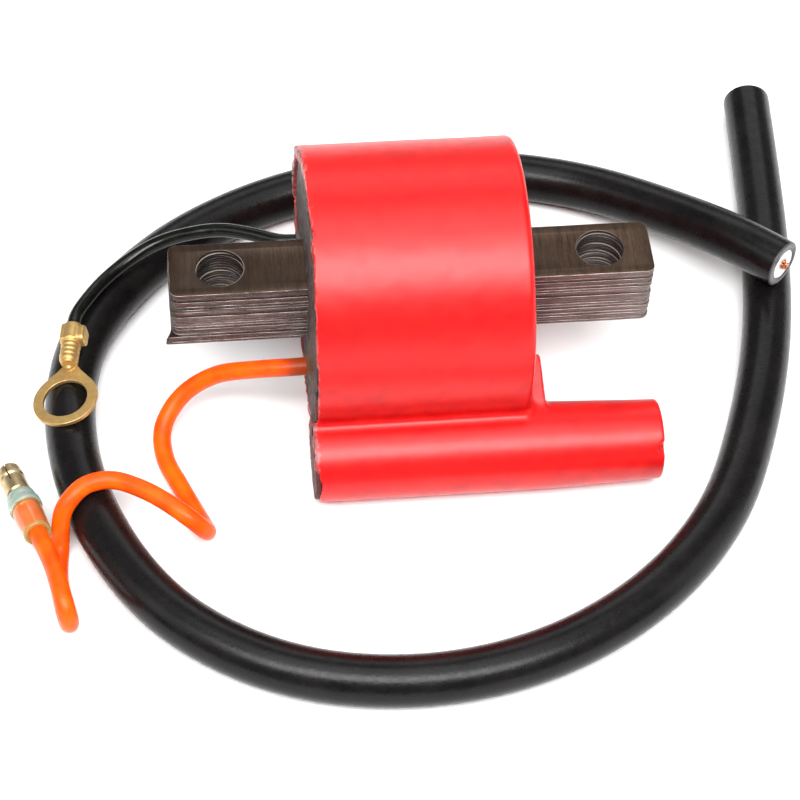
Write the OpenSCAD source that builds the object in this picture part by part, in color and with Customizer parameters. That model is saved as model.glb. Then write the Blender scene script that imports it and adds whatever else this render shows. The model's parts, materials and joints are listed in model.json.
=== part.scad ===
// Potted ignition coil with a laminated core, flying leads and a loose length of HT cable.
// Units are millimetres. +X runs along the core towards the HT outlet, +Z along the
// mounting holes, and the origin is the centre of the mounting-hole pattern.

/* [Core] */
// Length of the laminated core
core_len = 66; // [60:1:72]
// Width of the core
core_w = 9.2; // [8.8:0.1:9.6]
// Pitch of one lamination, with its varnish
lam_pitch = 0.5; // [0.45:0.01:0.5]
// Number of laminations in the stack
lam_count = 20; // [16:1:20]
// How far one corner of the lowest laminations stands out at the lead end
lam_step = 0.9; // [0:0.1:1]
// Number of laminations with that corner
lam_step_count = 3; // [0:1:5]
// Corner radius of a lamination
core_corner = 1.2; // [0.5:0.1:1.5]
// Diameter of a mounting hole
hole_d = 6.5; // [6.4:0.1:6.6]
// Distance between the mounting holes
hole_spacing = 52; // [50:0.5:53]

/* [Case] */
// Outer diameter of the drum
drum_d = 39; // [39:0.5:40]
// Length of the drum
drum_len = 29.4; // [28:0.2:31]
// Open end of the drum, along the core
drum_left = -14.6; // [-15:0.1:-14]
// Thickness of the drum's wall
drum_wall = 1.5; // [1.3:0.1:1.6]
// Thickness of the closed end
end_wall = 2; // [1.6:0.1:2.4]
// Radius round the edge of the closed end
end_round = 1.4; // [0.6:0.1:1.6]
// Outer diameter of the HT tower beside the drum
tower_d = 12; // [11.6:0.1:12.4]
// Outer diameter of the HT tower at its mouth
tower_tip_d = 11; // [10.8:0.1:11.4]
// Distance of the tower's axis in front of the drum's axis
tower_y = 19.2; // [18.8:0.1:19.4]
// Mouth of the tower, along the core
tower_tip = 33; // [31:0.5:34]
// Radius of the fillet where the tower meets the drum
web_fillet = 1.6; // [1:0.1:2.4]

/* [HT socket] */
// Diameter of the socket's mouth
socket_d = 7.2; // [7.1:0.05:7.3]
// Diameter of the deeper part, which grips the cable
grip_d = 6.8; // [6.7:0.05:6.9]
// Depth of the mouth
socket_len = 14; // [12:0.5:15]
// Depth of the gripping part
grip_len = 9; // [8:0.5:10]
// Diameter of the terminal's spike
spike_d = 2.2; // [1.8:0.1:2.4]

/* [Windings] */
// Outer diameter of the primary winding
primary_d = 20; // [19:0.2:20.2]
// Outer diameter of the secondary winding
secondary_d = 31.2; // [29:0.2:31.4]
// Number of sections of the secondary winding
section_count = 6; // [4:1:8]

/* [Leads] */
// Diameter of the HT cable
ht_d = 7; // [6.8:0.1:7]
// Diameter of the HT cable's white inner insulation
ht_core_d = 4.6; // [4.2:0.1:4.8]
// Diameter of the HT cable's copper strands
ht_strand_d = 1.6; // [1.2:0.1:1.8]
// Diameter of the ground lead
ground_d = 2; // [1.8:0.1:2]
// Diameter of the primary lead
primary_lead_d = 2.5; // [2.2:0.1:2.5]

/* [Terminals] */
// Diameter of the ring terminal's hole
ring_hole_d = 6.3; // [6.2:0.1:6.4]
// Outer diameter of the ring
ring_d = 9.2; // [9:0.1:9.6]
// Thickness of the ring's sheet brass
ring_t = 0.7; // [0.6:0.1:0.8]
// Diameter of the bullet terminal
bullet_d = 3.4; // [3.3:0.1:3.5]
// Length of the bullet that stands out of its sleeve
bullet_out = 5.6; // [5.2:0.1:5.8]
// Length of the sleeve
sleeve_len = 9; // [8.6:0.1:9.2]

/* [Hidden] */
$fn = 96;
fit_gap = 0.03;
cut = 1;
lam_names = [for (i = [1 : lam_count]) str("core_lamination_", i < 10 ? "0" : "", i)];

core_h = lam_pitch * lam_count;
drum_r = drum_d / 2;
drum_right = drum_left + drum_len;
floor_z = -drum_r;
cavity_r = drum_r - drum_wall;
cavity_right = drum_right - end_wall;
tower_r = tower_d / 2;
tower_z = floor_z + tower_r;
tower_angle = atan2(-tower_z, tower_y);
tower_reach = norm([tower_y, tower_z]);
tower_bore_r = 4.2;
web_passage_w = 5;
partition_right = tower_tip - socket_len - grip_len;
partition_t = 3;
partition_left = partition_right - partition_t;
resin_face = drum_left + 0.4;

sleeve_t = 0.35;
bobbin_left = -11;
bobbin_right = 12;
primary_barrel_r = 8.2;
primary_flange_r = 10.4;
primary_flange_t = 1;
wrap_t = 0.4;
secondary_barrel_r = 11.9;
secondary_flange_r = 16.4;
secondary_flange_t = 0.8;
secondary_in_r = primary_flange_r + wrap_t + 2 * fit_gap;
section_pitch = (bobbin_right - bobbin_left - secondary_flange_t) / section_count;

// Where each lead leaves the resin, as [y, z]
ground_exit = [12.6, -4.3];
primary_exit = [-8.5, -6.5];
lead_inset = 2.2;
lead_end = resin_face + lead_inset;
lead_straight = resin_face - 0.6;
solder_r = 0.8;
ground_strand_r = 0.7;
primary_strand_r = 0.8;

// HT terminal's head, and the wire that joins it to the secondary winding
terminal_head_r = 2.6;
terminal_head_t = 1;
jumper_r = 0.3;
jumper_x = bobbin_left + secondary_flange_t + (section_count - 2) * section_pitch - 1.9;

// Ring terminal: centre of the ring's underside, the direction of its barrel and its roll
ring_pos = [-48, -7.5, floor_z + ht_d + 0.1];
ring_turn = 82;
ring_roll = -13;
ring_axis_h = 1.55;
ring_neck = 5.3;
ring_barrel = 8.8;
ring_grip = 9.1;
ring_end = 11.9;

// Bullet terminal: its tip, and the turn and pitch of the axis from tip to lead
bullet_tip = [-56.5, -14.9, floor_z + 2];
bullet_turn = -72.5;
bullet_pitch = 13;
bullet_back = [
    cos(bullet_pitch) * cos(bullet_turn),
    cos(bullet_pitch) * sin(bullet_turn),
    sin(bullet_pitch)];
crimp_len = 5.4;
strip_at = bullet_out + 1.6;
insulation_at = bullet_out + 3.4;

function ring_point(d) =
    ring_pos + d * [cos(ring_turn), sin(ring_turn), 0]
    + ring_axis_h * [sin(ring_turn) * sin(ring_roll), -cos(ring_turn) * sin(ring_roll),
                     cos(ring_roll)];
function bullet_point(d) = bullet_tip + d * bullet_back;

ground_route = concat(
    [[lead_end, ground_exit[0], ground_exit[1]],
     [lead_straight, ground_exit[0], ground_exit[1]],
     [-17, 12.9, -4.5], [-20.7, 15, -5.1], [-25.2, 17, -6], [-29.7, 17.7, -7.2],
     [-34.3, 17.8, -9], [-38.5, 16.2, -10.5], [-42, 13.2, -11], [-44.4, 9.9, -10.9]],
    [ring_point(ring_end + 2), ring_point(ring_end), ring_point(ring_grip)]);

primary_route = concat(
    [[lead_end, primary_exit[0], primary_exit[1]],
     [lead_straight, primary_exit[0], primary_exit[1]],
     [-17, -8.4, -6.7], [-22, -7.4, -8], [-27.5, -5.6, -11], [-32.2, -6.2, -14.4],
     [-35, -9.6, -17], [-34.9, -14, -18.2], [-33, -19, -18.2], [-31.2, -23.4, -18.2],
     [-30, -27.2, -17], [-29.9, -29.7, -14.2], [-31.8, -29.5, -11.6], [-35.2, -26.7, -10.9],
     [-38.6, -24.2, -10.9], [-42.2, -22.5, -11.1], [-45.6, -23.1, -11.1],
     [-47.2, -24.4, -11.4], [-48.8, -25.8, -13], [-49.3, -27, -15.5], [-49.5, -28.1, -17.4],
     [-49.7, -29.6, -18.2], [-49.8, -31.2, -18.2], [-49.8, -33.6, -18.2], [-49.4, -36.8, -18.1],
     [-48.8, -40.2, -17.5], [-48.4, -42.1, -15.8], [-48.4, -42.6, -13.5],
     [-48.9, -41.1, -11.8]],
    [bullet_point(bullet_out + sleeve_len + 7), bullet_point(bullet_out + sleeve_len),
     bullet_point(insulation_at)]);

ht_route = [
    [58, 49, -16], [56.8, 33, -16], [55.2, 17, -16], [52.6, 1.5, -16], [48, -14, -16],
    [40.5, -30.5, -16], [29, -43, -16], [13.5, -51.5, -16], [-4, -54.3, -16],
    [-21, -51, -16], [-35, -41.5, -16], [-43.9, -27, -16], [-47.7, -10.5, -16],
    [-45.5, 6, -16], [-35.5, 20.5, -16], [-20, 30.5, -16], [-3, 35, -16], [14, 35, -16],
    [29.5, 30.5, -15.2], [41.5, 21.5, -12.4], [49.4, 13.2, -9.6], [56, 6.5, -8.9]];

// --- helpers ---------------------------------------------------------------

// Cylinder along X between two stations, about an axis at [y, z]
module xcyl(r, x0, x1, at = [0, 0]) {
    translate([x0, at[0], at[1]]) rotate([0, 90, 0]) cylinder(h = x1 - x0, r = r);
}

// Solid of revolution about an axis along X: profile points are [radius, x]
module xrev(profile, at = [0, 0]) {
    translate([0, at[0], at[1]]) rotate([0, 90, 0]) rotate_extrude() polygon(profile);
}

// Box between two opposite corners
module box_between(low, high) {
    translate(low) cube(high - low);
}

// Outline in [y, z] extruded along X between two stations
module xprism(x0, x1) {
    translate([x0, 0, 0]) rotate([90, 0, 90]) linear_extrude(x1 - x0) children();
}

// Points of an arc in [radius, x], for a rounded edge
function edge_arc(cr, cx, r, a0, a1) =
    [for (i = [0 : 6]) let (a = a0 + (a1 - a0) * i / 6) [cr + r * cos(a), cx + r * sin(a)]];

// Rings of a tube swept along a route: each ring is square to the local direction
function unit(v) = v / norm(v);
function heading(route, i) =
    unit(route[min(i + 1, len(route) - 1)] - route[max(i - 1, 0)]);
function side_of(t) = unit(cross(t, abs(t[2]) > 0.9 ? [1, 0, 0] : [0, 0, 1]));
function ring_at(route, i, r, sides) =
    let (t = heading(route, i), u = side_of(t), v = cross(u, t))
    [for (k = [0 : sides - 1])
        let (a = 360 * (k + 0.5) / sides) route[i] + r * (cos(a) * u + sin(a) * v)];

// Side faces between ring i and the next, from a first vertex
function skin(first, rings, sides, flip) =
    [for (i = [0 : rings - 2], k = [0 : sides - 1])
        let (a = first + i * sides + k, b = first + i * sides + (k + 1) % sides,
             c = b + sides, d = a + sides)
        each (flip ? [[a, c, b], [a, d, c]] : [[a, b, c], [a, c, d]])];

// Solid rod along a route
module rod(route, r, sides) {
    n = len(route);
    points = [for (i = [0 : n - 1]) each ring_at(route, i, r, sides)];
    caps = [[for (k = [sides - 1 : -1 : 0]) k],
            [for (k = [0 : sides - 1]) (n - 1) * sides + k]];
    polyhedron(points, concat(skin(0, n, sides, false), caps));
}

// Hollow tube along a route
module tube(route, r_out, r_in, sides) {
    n = len(route);
    m = n * sides;
    points = concat(
        [for (i = [0 : n - 1]) each ring_at(route, i, r_out, sides)],
        [for (i = [0 : n - 1]) each ring_at(route, i, r_in, sides)]);
    last = (n - 1) * sides;
    caps = [for (k = [0 : sides - 1]) let (j = (k + 1) % sides)
        each [[j, k, m + k], [j, m + k, m + j],
              [last + k, last + j, m + last + j], [last + k, m + last + j, m + last + k]]];
    polyhedron(points,
        concat(skin(0, n, sides, false), skin(m, n, sides, true), caps));
}

// --- laminated core --------------------------------------------------------

// One core plate; the near corner of the lowest ones runs out to a point at the lead end
module lamination(index) {
    left = -core_len / 2;
    right = core_len / 2;
    near = -core_w / 2;
    tip_w = 1.3;
    tip_end_w = 0.25;
    reach = lam_step * (1 - (index - 1) / (lam_step_count + 1));
    pointed = index <= lam_step_count && lam_step > 0;
    color("dimgray")
        translate([0, 0, -core_h / 2 + (index - 1) * lam_pitch + fit_gap / 2])
            linear_extrude(lam_pitch - fit_gap)
                difference() {
                    union() {
                        translate([left + core_corner, near])
                            square([right - left - 2 * core_corner, core_w]);
                        translate([left, near + core_corner])
                            square([right - left, core_w - 2 * core_corner]);
                        for (x = [left + core_corner, right - core_corner])
                            for (y = [-1, 1] * (core_w / 2 - core_corner))
                                if (!pointed || x > 0 || y > 0)
                                    translate([x, y]) circle(core_corner);
                        if (pointed)
                            polygon([[left - reach, near], [left + 2 * core_corner, near],
                                     [left + 2 * core_corner, near + 2 * core_corner],
                                     [left, near + 2 * core_corner], [left, near + tip_w],
                                     [left - reach, near + tip_end_w]]);
                    }
                    for (x = [-0.5, 0.5] * hole_spacing)
                        translate([x, 0]) circle(d = hole_d);
                }
}

// --- case ------------------------------------------------------------------

// Web between the drum and the tower, with a concave fillet on each side
module web_outline(r1, r2, f, reach) {
    along = (reach * reach + pow(r1 + f, 2) - pow(r2 + f, 2)) / (2 * reach);
    off = sqrt(pow(r1 + f, 2) - along * along);
    difference() {
        polygon([[0, 0], [along, off], [reach, 0], [along, -off]]);
        for (side = [-1, 1]) translate([along, side * off]) circle(f);
    }
}

// Turns an outline drawn along +x so that it points from the drum to the tower
module toward_tower() {
    rotate(180 + tower_angle) children();
}

module drum_body() {
    xrev(concat(
        [[0, drum_left], [drum_r, drum_left]],
        edge_arc(drum_r - end_round, drum_right - end_round, end_round, 0, 90),
        [[0, drum_right]]));
}

module tower_body() {
    lip = 0.7;
    mouth_r = tower_tip_d / 2;
    taper_start = drum_right + 2.5;
    xrev(concat(
        [[0, drum_left], [tower_r, drum_left], [tower_r, taper_start]],
        edge_arc(mouth_r - lip, tower_tip - lip, lip, 0, 90),
        [[0, tower_tip]]),
        [-tower_y, tower_z]);
}

// Buttress that stands off the closed end above the tower
module buttress() {
    head = 11.1;
    toe = tower_reach - tower_r + 2.2;
    head_stand = 2.1;
    toe_stand = 2.6;
    w = 7;
    root = drum_right - 1;
    rotate([tower_angle, 0, 0]) translate([0, 0, -w / 2])
        linear_extrude(w)
            polygon([[root, -head], [drum_right + head_stand, -head],
                     [drum_right + toe_stand, -toe], [drum_right + toe_stand, -tower_reach],
                     [root, -tower_reach]]);
}

// Passage between the drum's cavity and the tower's, with a gap all round for what fills it
module web_passage(x0, x1, gap) {
    w = web_passage_w - 2 * gap;
    xprism(x0, x1) toward_tower()
        translate([cavity_r - 2, -w / 2]) square([tower_reach - cavity_r + 2, w]);
}

module case_shell() {
    color("red") difference() {
        union() {
            drum_body();
            tower_body();
            xprism(drum_left, drum_right - end_round)
                toward_tower() web_outline(drum_r, tower_r, web_fillet, tower_reach);
            buttress();
        }
        xcyl(cavity_r, drum_left - cut, cavity_right);
        xcyl(tower_bore_r, drum_left - cut, partition_left, [-tower_y, tower_z]);
        web_passage(drum_left - cut, partition_left, 0);
        core_slot(cavity_right - cut, drum_right + cut);
        xcyl(socket_d / 2, tower_tip - socket_len, tower_tip + cut, [-tower_y, tower_z]);
        xcyl(grip_d / 2, partition_right, tower_tip - socket_len + cut, [-tower_y, tower_z]);
        xcyl(spike_d / 2 + fit_gap, partition_left - cut, partition_right + cut,
            [-tower_y, tower_z]);
        mouth_notch();
    }
}

// Clearance slot for the core between two stations
module core_slot(x0, x1) {
    box_between([x0, -core_w / 2 - fit_gap, -core_h / 2 - fit_gap],
                [x1, core_w / 2 + fit_gap, core_h / 2 + fit_gap]);
}

// Small notch in the rim of the tower's mouth
module mouth_notch() {
    notch = 0.8;
    notch_angle = -37;
    translate([tower_tip, -tower_y, tower_z]) rotate([notch_angle, 0, 0])
        translate([0, 0.4 - tower_tip_d / 2, 0]) rotate([0, 45, 0])
            cube([notch, 2, notch], center = true);
}

// --- potting ---------------------------------------------------------------

module potting_resin() {
    fill_r = cavity_r - fit_gap;
    color("dimgray") difference() {
        union() {
            xcyl(fill_r, resin_face, cavity_right - fit_gap);
            xcyl(tower_bore_r - fit_gap, resin_face, partition_left - fit_gap,
                [-tower_y, tower_z]);
            web_passage(resin_face, partition_left - fit_gap, fit_gap);
        }
        insulated_core_space(resin_face - cut, cavity_right + cut);
        xcyl(secondary_flange_r + fit_gap, bobbin_left - fit_gap, bobbin_right + fit_gap);
        lead_space(ground_exit, ground_d / 2);
        lead_space(primary_exit, primary_lead_d / 2);
        for (at = [ground_exit, primary_exit])
            xcyl(solder_r + fit_gap, lead_end - cut, bobbin_left, at);
        jumper_space();
        xcyl(terminal_head_r + fit_gap, partition_left - terminal_head_t - fit_gap,
            partition_left, [-tower_y, tower_z]);
    }
    color("dimgray") winding_fill();
}

// Resin that fills the rim of each section, outside the winding
module winding_fill() {
    for (i = [0 : section_count - 1]) {
        x0 = section_left(i) + fit_gap;
        x1 = section_left(i + 1) - secondary_flange_t - fit_gap;
        difference() {
            xcyl(secondary_flange_r + 0.4, x0, x1);
            xcyl(secondary_d / 2 + fit_gap, x0 - cut, x1 + cut);
            jumper_space();
        }
    }
}

module lead_space(at, r) {
    xcyl(r + fit_gap, resin_face - cut, lead_end + fit_gap, at);
}

// Space of the core with its insulation between two stations
module insulated_core_space(x0, x1) {
    t = sleeve_t + 2 * fit_gap;
    box_between([x0, -core_w / 2 - t, -core_h / 2 - t], [x1, core_w / 2 + t, core_h / 2 + t]);
}

// --- windings --------------------------------------------------------------

module core_insulation() {
    t = sleeve_t + fit_gap;
    color("khaki") difference() {
        box_between([resin_face + 0.1, -core_w / 2 - t, -core_h / 2 - t],
                    [cavity_right - fit_gap, core_w / 2 + t, core_h / 2 + t]);
        core_slot(resin_face - cut, cavity_right + cut);
    }
}

module primary_bobbin() {
    t = primary_flange_t;
    color("darkslategray") difference() {
        xrev([[0, bobbin_left], [primary_flange_r, bobbin_left],
              [primary_flange_r, bobbin_left + t], [primary_barrel_r, bobbin_left + t],
              [primary_barrel_r, bobbin_right - t], [primary_flange_r, bobbin_right - t],
              [primary_flange_r, bobbin_right], [0, bobbin_right]]);
        insulated_core_space(bobbin_left - cut, bobbin_right + cut);
    }
}

module primary_winding() {
    x0 = bobbin_left + primary_flange_t + fit_gap;
    x1 = bobbin_right - primary_flange_t - fit_gap;
    color("chocolate") difference() {
        xcyl(primary_d / 2, x0, x1);
        xcyl(primary_barrel_r + fit_gap, x0 - cut, x1 + cut);
    }
}

module interlayer_wrap() {
    color("gold") difference() {
        xcyl(primary_flange_r + fit_gap + wrap_t, bobbin_left, bobbin_right);
        xcyl(primary_flange_r + fit_gap, bobbin_left - cut, bobbin_right + cut);
    }
}

// Left side of section i of the secondary winding
function section_left(i) = bobbin_left + secondary_flange_t + i * section_pitch;

module secondary_bobbin() {
    color("ivory") difference() {
        union() {
            xcyl(secondary_barrel_r, bobbin_left, bobbin_right);
            for (i = [0 : section_count])
                xcyl(secondary_flange_r, section_left(i) - secondary_flange_t,
                    section_left(i));
        }
        xcyl(secondary_in_r, bobbin_left - cut, bobbin_right + cut);
    }
}

module secondary_winding() {
    color("sienna") for (i = [0 : section_count - 1]) {
        x0 = section_left(i) + fit_gap;
        x1 = section_left(i + 1) - secondary_flange_t - fit_gap;
        difference() {
            xcyl(secondary_d / 2, x0, x1);
            xcyl(secondary_barrel_r + fit_gap, x0 - cut, x1 + cut);
        }
    }
}

// --- HT outlet -------------------------------------------------------------

// Straight run from the drum's axis towards the tower, between two distances
module radial_rod(r, d0, d1) {
    rotate([tower_angle, 0, 0]) translate([jumper_x, -d0, 0]) rotate([90, 0, 0])
        cylinder(h = d1 - d0, r = r);
}

module ht_jumper() {
    color("orangered")
        radial_rod(jumper_r, secondary_d / 2 + fit_gap, tower_reach - jumper_r);
}

module jumper_space() {
    radial_rod(jumper_r + fit_gap, secondary_d / 2, tower_reach + jumper_r);
}

// Brass terminal: head in the potting, shank in the partition, threaded spike in the socket
module ht_terminal() {
    head_x = partition_left - terminal_head_t;
    spike_end = partition_right + grip_len - 0.8;
    r = spike_d / 2;
    color("goldenrod") xrev(concat(
        [[0, head_x], [terminal_head_r, head_x],
         [terminal_head_r, partition_left - fit_gap], [r, partition_left - fit_gap],
         [r, partition_right + 1]],
        [for (i = [0 : 4]) let (x = partition_right + 1 + i)
            each [[r * 0.72, x + 0.3], [r, x + 0.8]]],
        [[0, spike_end]]),
        [-tower_y, tower_z]);
}

module solder_joints() {
    color("silver") for (at = [ground_exit, primary_exit])
        xcyl(solder_r, lead_end + fit_gap, bobbin_left - fit_gap, at);
}

// --- ground lead -----------------------------------------------------------

module ground_lead() {
    color("black") rod(ground_route, ground_d / 2, 8);
}

// Places a shape drawn along +x from the ring's centre
module at_ring() {
    translate(ring_pos) rotate([0, 0, ring_turn]) rotate([ring_roll, 0, 0]) children();
}

module ground_lead_strands() {
    color("peru") at_ring()
        xcyl(ground_strand_r, ring_neck + 0.2, ring_grip - fit_gap, [0, ring_axis_h]);
}

// Point where a line from a point outside a circle touches it
function tangent_point(r, p) =
    let (a = atan2(p[1], p[0]) + acos(r / norm(p))) r * [cos(a), sin(a)];

module ring_terminal() {
    barrel_r = 1.3;
    grip_r = 1.6;
    neck_w = 2.6;
    strap_w = 1.8;
    rib_h = 0.1;
    rib_pitch = 0.85;
    rib_w = 0.35;
    seam_w = 0.2;
    wing_t = 0.55;
    wing_h = 1.9;
    neck_corner = [ring_neck, neck_w / 2];
    shoulder = tangent_point(ring_d / 2, neck_corner);
    color("goldenrod") at_ring() {
        difference() {
            union() {
                linear_extrude(ring_t) {
                    circle(d = ring_d);
                    polygon([shoulder, neck_corner, [neck_corner[0], -neck_corner[1]],
                             [shoulder[0], -shoulder[1]]]);
                    translate([ring_neck - 0.2, -strap_w / 2])
                        square([ring_end - ring_neck, strap_w]);
                }
                xcyl(barrel_r, ring_neck, ring_barrel, [0, ring_axis_h]);
                for (i = [0 : 3]) {
                    x = ring_neck + 0.3 + i * rib_pitch;
                    xcyl(barrel_r + rib_h, x, x + rib_w, [0, ring_axis_h]);
                }
                xcyl(grip_r, ring_grip, ring_end, [0, ring_axis_h]);
                box_between([ring_grip - 0.2, -grip_r - wing_t, ring_axis_h - 0.9],
                            [ring_end - 0.2, -grip_r + wing_t, ring_axis_h - 0.9 + wing_h]);
            }
            translate([0, 0, -cut]) cylinder(h = ring_t + 2 * cut, d = ring_hole_d);
            xcyl(ground_strand_r + fit_gap, ring_neck - cut, ring_grip, [0, ring_axis_h]);
            xcyl(ground_d / 2 + fit_gap, ring_grip - 0.05, ring_end + cut, [0, ring_axis_h]);
            box_between([ring_neck - cut, -seam_w / 2, ring_axis_h],
                        [ring_end + cut, seam_w / 2, ring_axis_h + grip_r + cut]);
        }
    }
}

// --- primary lead ----------------------------------------------------------

module primary_lead() {
    color("orange") rod(primary_route, primary_lead_d / 2, 8);
}

// Places a shape drawn along +x from the bullet's tip
module at_bullet() {
    translate(bullet_tip) rotate([0, -bullet_pitch, bullet_turn]) children();
}

module primary_lead_strands() {
    color("peru") at_bullet() xcyl(primary_strand_r, strip_at, insulation_at - fit_gap);
}

module bullet_terminal() {
    r = bullet_d / 2;
    dome_r = 1;
    neck_r = 1.3;
    barrel_r = 1.5;
    groove = 2.7;
    groove_depth = 0.3;
    slit_w = 0.3;
    slit_end = 3.9;
    color("goldenrod") at_bullet() difference() {
        xrev(concat(
            [[0, 0]],
            edge_arc(r - dome_r, dome_r, dome_r, -90, 0),
            [[r, groove - 0.5], [r - groove_depth, groove], [r, groove + 0.5],
             [r, bullet_out - 0.4], [neck_r, bullet_out], [neck_r, bullet_out + 0.9],
             [barrel_r, bullet_out + 1.2], [barrel_r, bullet_out + crimp_len],
             [0, bullet_out + crimp_len]]));
        xcyl(primary_strand_r + fit_gap, strip_at - fit_gap, bullet_out + crimp_len + cut);
        xcyl(primary_lead_d / 2 + fit_gap, insulation_at - fit_gap,
            bullet_out + crimp_len + cut);
        box_between([-cut, -slit_w / 2, 0], [slit_end, slit_w / 2, r + cut]);
    }
}

// Clear sleeve that covers the crimp and slides back along the lead
module terminal_sleeve() {
    flange_r = 2.3;
    flange_t = 2.2;
    body_r = 2.05;
    tail_r = 1.9;
    crimp_bore_r = 1.75;
    tail_bore_r = 1.45;
    x0 = bullet_out + 0.4;
    x1 = bullet_out + sleeve_len;
    color("honeydew", 0.5) at_bullet() difference() {
        xrev([[0, x0], [flange_r, x0], [flange_r, x0 + flange_t], [body_r, x0 + flange_t + 0.4],
              [tail_r, x1 - 0.6], [tail_r, x1], [0, x1]]);
        xcyl(crimp_bore_r, x0 - cut, bullet_out + crimp_len + 0.4);
        xcyl(tail_bore_r, x0 - cut, x1 + cut);
    }
}

// --- HT cable --------------------------------------------------------------

module ht_cable_jacket() {
    color("black") tube(ht_route, ht_d / 2, ht_core_d / 2 + fit_gap, 12);
}

module ht_cable_insulation() {
    color("white") tube(ht_route, ht_core_d / 2, ht_strand_d / 2 + fit_gap, 12);
}

module ht_cable_strands() {
    color("peru") rod(ht_route, ht_strand_d / 2, 8);
}

case_shell();
potting_resin();
core_insulation();
primary_bobbin();
primary_winding();
interlayer_wrap();
secondary_bobbin();
secondary_winding();
ht_jumper();
ht_terminal();
solder_joints();
for (i = [1 : lam_count])
    lamination(i);
ground_lead();
ground_lead_strands();
ring_terminal();
primary_lead();
primary_lead_strands();
bullet_terminal();
terminal_sleeve();
ht_cable_jacket();
ht_cable_insulation();
ht_cable_strands();
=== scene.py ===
"""Ignition coil: the visible model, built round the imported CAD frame.

Shapes are worked out in millimetres in the CAD's own frame and turned into metres when a mesh is made.
"""
import json
import math

import bpy
import numpy as np
from mathutils import Matrix, Vector
from mathutils.geometry import tessellate_polygon


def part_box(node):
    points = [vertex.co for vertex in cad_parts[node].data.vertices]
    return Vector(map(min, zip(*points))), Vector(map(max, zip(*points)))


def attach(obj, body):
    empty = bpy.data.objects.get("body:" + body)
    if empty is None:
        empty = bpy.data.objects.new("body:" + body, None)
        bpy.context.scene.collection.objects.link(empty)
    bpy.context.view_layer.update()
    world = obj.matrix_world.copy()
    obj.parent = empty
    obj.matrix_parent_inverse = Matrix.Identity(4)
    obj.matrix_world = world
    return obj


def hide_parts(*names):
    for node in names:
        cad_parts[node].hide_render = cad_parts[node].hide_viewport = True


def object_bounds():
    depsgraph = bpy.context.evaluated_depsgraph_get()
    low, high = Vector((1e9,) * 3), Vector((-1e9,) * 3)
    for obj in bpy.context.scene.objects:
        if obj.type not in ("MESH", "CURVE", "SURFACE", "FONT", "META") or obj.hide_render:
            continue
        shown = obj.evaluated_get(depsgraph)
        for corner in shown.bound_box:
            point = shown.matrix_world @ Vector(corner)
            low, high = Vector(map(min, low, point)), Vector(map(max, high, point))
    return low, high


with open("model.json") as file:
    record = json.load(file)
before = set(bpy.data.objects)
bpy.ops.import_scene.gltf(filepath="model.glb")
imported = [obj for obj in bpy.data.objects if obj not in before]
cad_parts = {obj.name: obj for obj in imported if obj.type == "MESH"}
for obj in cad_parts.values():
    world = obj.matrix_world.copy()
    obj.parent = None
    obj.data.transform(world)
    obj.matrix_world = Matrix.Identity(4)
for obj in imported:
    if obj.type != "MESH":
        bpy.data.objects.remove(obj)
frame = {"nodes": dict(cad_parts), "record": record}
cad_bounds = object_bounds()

MM = 0.001
TURN = 2 * math.pi
# Scale that leaves only y and z.
ACROSS = (0, 1, 1)


# --- places and sizes from the frame ---

def box_mm(node):
    """Lowest and highest corner of a CAD node, in millimetres."""
    low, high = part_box(node)
    return np.array(low) / MM, np.array(high) / MM


def mount_mm(name):
    """Place in millimetres and unit axis of one of the record's mounts."""
    found = [m for m in frame["record"]["mounts"] if m["name"] == name][0]
    return np.array(found["pos_m"]) / MM, np.array(found["axis"], float)


def unit(v):
    return v / np.linalg.norm(v)


CASE_LOW, CASE_HIGH = box_mm("case_shell")
DRUM_LEFT = CASE_LOW[0]
DRUM_R = CASE_HIGH[2]
WALL = 1.5
CAVITY_R = DRUM_R - WALL
# Clearance between pieces that fit each other.
FIT_GAP = 0.03
CAVITY_RIGHT = box_mm("potting_resin")[1][0] + FIT_GAP
DRUM_RIGHT = CAVITY_RIGHT + 2
END_ROUND = 0.9
RESIN_FACE = box_mm("potting_resin")[0][0]
FLOOR_Z = cad_bounds[0][2] / MM

SOCKET_AT = mount_mm("ht_socket")[0]
TOWER_Y, TOWER_Z = SOCKET_AT[1], SOCKET_AT[2]
TOWER_R = TOWER_Z - CASE_LOW[2]
TOWER_REACH = math.hypot(TOWER_Y, TOWER_Z)
TOWER_DIRECTION = np.array([TOWER_Y, TOWER_Z]) / TOWER_REACH
TOWER_TIP = CASE_HIGH[0]
TOWER_MOUTH_R = 5.5
TOWER_BORE_R = 4.2
WEB_PASSAGE_W = 5

CORE_HALF = box_mm("core_lamination_20")[1]
PLATES = 20
PLATE_PITCH = 0.5
HOLE_X = 26
HOLE_R = 3.25

GROUND_D = 2.0
PRIMARY_D = 2.5
HT_D = 7.0
HT_CORE_D = 4.6
HT_STRAND_D = 1.6

RING_AT, RING_UP = mount_mm("ring_hole")
RING_T = 0.7
RING_ALONG = sum(box_mm("ground_lead_strands")) / 2 - RING_AT
RING_ALONG = unit(RING_ALONG - RING_ALONG @ RING_UP * RING_UP)
RING_SIDE = np.cross(RING_UP, RING_ALONG)
RING_AXIS_H = 1.55
RING_NECK = 5.3
RING_GRIP = 9.1
RING_END = 11.9

BULLET_MOUNT_AT = 4.2
BULLET_OUT = 5.6
SLEEVE_LEN = 9
CRIMP_END = BULLET_OUT + 3.5
COLLAR_END = BULLET_OUT + 3.6
BULLET_BACK = -unit(mount_mm("bullet")[1])
BULLET_TIP = mount_mm("bullet")[0] - BULLET_MOUNT_AT * BULLET_BACK


def ring_point(d):
    """Point on the axis of the ring terminal's barrel, at a distance from the ring's centre."""
    return RING_AT + d * RING_ALONG + (RING_AXIS_H - RING_T / 2) * RING_UP


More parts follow.
